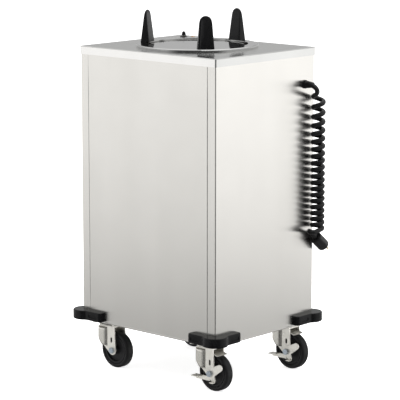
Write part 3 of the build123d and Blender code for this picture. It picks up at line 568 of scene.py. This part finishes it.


# Beads: dark half-round strips along the panel's seams, painted shade for the shadow lines there, and the
# rolled hem at the cabinet's foot
BODY_HALF_W = 0.246
BODY_HALF_D = 0.2005
PANEL_FRONT = -BODY_HALF_D - 0.0006
FLOOR_GAP = 0.130
SHELL_TOP = 0.868
SEAM_X = 0.2172
SEAM_FOOT = FLOOR_GAP + 0.006
SEAM_SIZE = (0.0011, 0.0009)
HEM_Z = FLOOR_GAP + 0.0024
HEM_REACH_X = 0.160
HEM_REACH_Y = 0.114
HEM_SIZE = (0.0022, 0.0012)
BEAD_STEPS = 8
BEAD_SIDES = 16
BEAD_END_SIZE = 0.6
BEAD_BACK_SIZE = 0.8
BEAD_SINK = 0.0003


def make_bead(name, start, end, out, size, material):
    """A half-round strip from start to end on a face that looks along out. Size is (half width, rise)."""
    start, end, out = Vector(start), Vector(end), Vector(out)
    half_w, rise = size
    across = (end - start).normalized().cross(out)
    rings = []
    for step in range(BEAD_STEPS + 1):
        taper = 1.0 if 0 < step < BEAD_STEPS else BEAD_END_SIZE
        centre = start.lerp(end, step / BEAD_STEPS)
        ring = []
        for i in range(BEAD_SIDES + 1):
            turn = pi * i / BEAD_SIDES
            ring.append(centre + across * half_w * cos(turn) * taper + out * rise * sin(turn) * taper)
        for hand in (-1, 1):
            ring.append(centre + across * half_w * BEAD_BACK_SIZE * hand - out * BEAD_SINK)
        rings.append(ring)
    place_mesh(name, loft_mesh(name, rings), "cabinet", material, smooth_angle=60)


# The seam beads are painted shade: dark strips standing in for the shadow line at each edge of the access
# panel.
for hand, x in {"left": -SEAM_X, "right": SEAM_X}.items():
    make_bead(f"panel_seam_{hand}", (x, -BODY_HALF_D, SEAM_FOOT), (x, -BODY_HALF_D, SHELL_TOP), (0, -1, 0),
              SEAM_SIZE, "seam_shadow_grey")
HEMS = {
    "hem_left": ((-BODY_HALF_W, HEM_REACH_Y), (-BODY_HALF_W, -HEM_REACH_Y), (-1, 0, 0)),
    "hem_right": ((BODY_HALF_W, -HEM_REACH_Y), (BODY_HALF_W, HEM_REACH_Y), (1, 0, 0)),
    "hem_front": ((HEM_REACH_X, PANEL_FRONT), (-HEM_REACH_X, PANEL_FRONT), (0, -1, 0)),
    "hem_back": ((-HEM_REACH_X, BODY_HALF_D), (HEM_REACH_X, BODY_HALF_D), (0, 1, 0)),
}
for hem, (start, end, out) in HEMS.items():
    make_bead(hem, (*start, HEM_Z), (*end, HEM_Z), out, HEM_SIZE, "stainless")


# Race covers: a bright rolled ring round each swivel race
RACE_R = 0.0292
RACE_Z = 0.1215
RACE_HALF_W = 0.0017
RACE_HALF_H = 0.0023
RACE_STEPS = 48
RACE_SIDES = 12


def make_race_cover(corner):
    x, y = CASTER_SPOTS[corner]
    rings = []
    for i in range(RACE_STEPS):
        turn = 2 * pi * i / RACE_STEPS
        ring = []
        for k in range(RACE_SIDES):
            roll = 2 * pi * k / RACE_SIDES
            radius = RACE_R + RACE_HALF_W * cos(roll)
            height = RACE_Z + RACE_HALF_H * sin(roll)
            ring.append(Vector((x + radius * cos(turn), y + radius * sin(turn), height)))
        rings.append(ring)
    name = f"race_cover_{corner}"
    mesh = loft_mesh(name, rings, looped=True)
    place_mesh(name, mesh, "cabinet", "rolled_zinc", smooth_angle=60)


for corner in CORNERS:
    make_race_cover(corner)


# Camera, solved from the cabinet's edges in the photograph
CAMERA_AZIMUTH = radians(42.18)
CAMERA_PITCH = radians(10.24)
CAMERA_SPOT = (3.773, -4.153, 1.482)
SENSOR = 36.0
FOCAL_PIXELS = 2076.3
PHOTO_PIXELS = 400


def make_camera():
    data = bpy.data.cameras.new("photo_camera")
    camera = bpy.data.objects.new("photo_camera", data)
    bpy.context.scene.collection.objects.link(camera)
    data.sensor_width = SENSOR
    data.lens = SENSOR * FOCAL_PIXELS / PHOTO_PIXELS
    data.clip_start = 0.1
    data.clip_end = 200.0
    camera.location = CAMERA_SPOT
    camera.rotation_mode = "QUATERNION"
    camera.rotation_quaternion = aimed((
        -sin(CAMERA_AZIMUTH) * cos(CAMERA_PITCH),
        cos(CAMERA_AZIMUTH) * cos(CAMERA_PITCH),
        -sin(CAMERA_PITCH),
    ), "-Z")
    bpy.context.scene.camera = camera


make_camera()


# Studio: a pale floor, a soft overhead light, and a room whose brightness changes with height, as in a cove
FLOOR_HALF = 30.0
FLOOR_GLOW = 0.8
OVERHEAD_SPOT = Vector((0.5, 0.5, 4.5))
OVERHEAD_SIZE = 7.0
OVERHEAD_POWER = 250
# (the direction's height from straight down to straight up, the room's light there)
ROOM = [
    (-1.00, 0.22),
    (-0.34, 0.24),
    (-0.25, 0.40),
    (-0.20, 0.97),
    (-0.13, 1.20),
    (-0.02, 1.24),
    (0.03, 0.43),
    (0.35, 0.44),
    (0.60, 0.85),
    (1.00, 1.00),
]
ROOM_FRONT = 0.92
ROOM_BACK = 1.18
DARK_SIDE = (0.671, -0.741, 0.0)
DARK_REACH = (0.45, 0.85)
DARK_LEVEL = 0.15


def make_room():
    """World light by height, a little lighter towards the back, with one dark side."""
    world = bpy.data.worlds.new("studio")
    bpy.context.scene.world = world
    world.use_nodes = True
    tree = world.node_tree
    new, link = tree.nodes.new, tree.links.new
    background = tree.nodes["Background"]
    where = new("ShaderNodeTexCoord").outputs["Generated"]
    split = new("ShaderNodeSeparateXYZ")
    link(where, split.inputs[0])

    by_height = new("ShaderNodeValToRGB")
    stops = by_height.color_ramp.elements
    while len(stops) < len(ROOM):
        stops.new(0.5)
    for stop, (level, light) in zip(stops, ROOM):
        stop.position = (level + 1) / 2
        stop.color = (light, light, light, 1)
    link(map_range(tree, split.outputs["Z"], (-1, 1), (0, 1)), by_height.inputs["Fac"])
    link(by_height.outputs["Color"], background.inputs["Color"])

    towards = new("ShaderNodeVectorMath")
    towards.operation = "DOT_PRODUCT"
    towards.inputs[1].default_value = DARK_SIDE
    link(where, towards.inputs[0])
    strength = new("ShaderNodeMath")
    strength.operation = "MULTIPLY"
    link(map_range(tree, split.outputs["Y"], (-1, 1), (ROOM_FRONT, ROOM_BACK)), strength.inputs[0])
    link(map_range(tree, towards.outputs["Value"], DARK_REACH, (1, DARK_LEVEL), "SMOOTHSTEP"),
         strength.inputs[1])
    link(strength.outputs[0], background.inputs["Strength"])


def make_floor():
    mesh = bpy.data.meshes.new("floor")
    half = FLOOR_HALF
    corners = [(-half, -half, 0), (half, -half, 0), (half, half, 0), (-half, half, 0)]
    mesh.from_pydata(corners, [], [(0, 1, 2, 3)])
    floor = bpy.data.objects.new("floor", mesh)
    bpy.context.scene.collection.objects.link(floor)
    look = Nodes("floor")
    look.tint(look.spread(look.noise(EVEN, size=0.5)), (0.90, 0.90, 0.90), (0.92, 0.92, 0.92))
    look.set(Roughness=0.9, Emission_Color=(1, 1, 1, 1), Emission_Strength=FLOOR_GLOW)
    mesh.materials.append(look.material)
    floor.visible_glossy = False


def make_overhead():
    data = bpy.data.lights.new("overhead", "AREA")
    data.size = OVERHEAD_SIZE
    data.energy = OVERHEAD_POWER
    light = bpy.data.objects.new("overhead", data)
    bpy.context.scene.collection.objects.link(light)
    light.location = OVERHEAD_SPOT
    light.visible_glossy = False
    light.rotation_mode = "QUATERNION"
    light.rotation_quaternion = aimed(-OVERHEAD_SPOT, "-Z")


make_floor()
make_room()
make_overhead()
bpy.context.scene.view_settings.view_transform = "Standard"
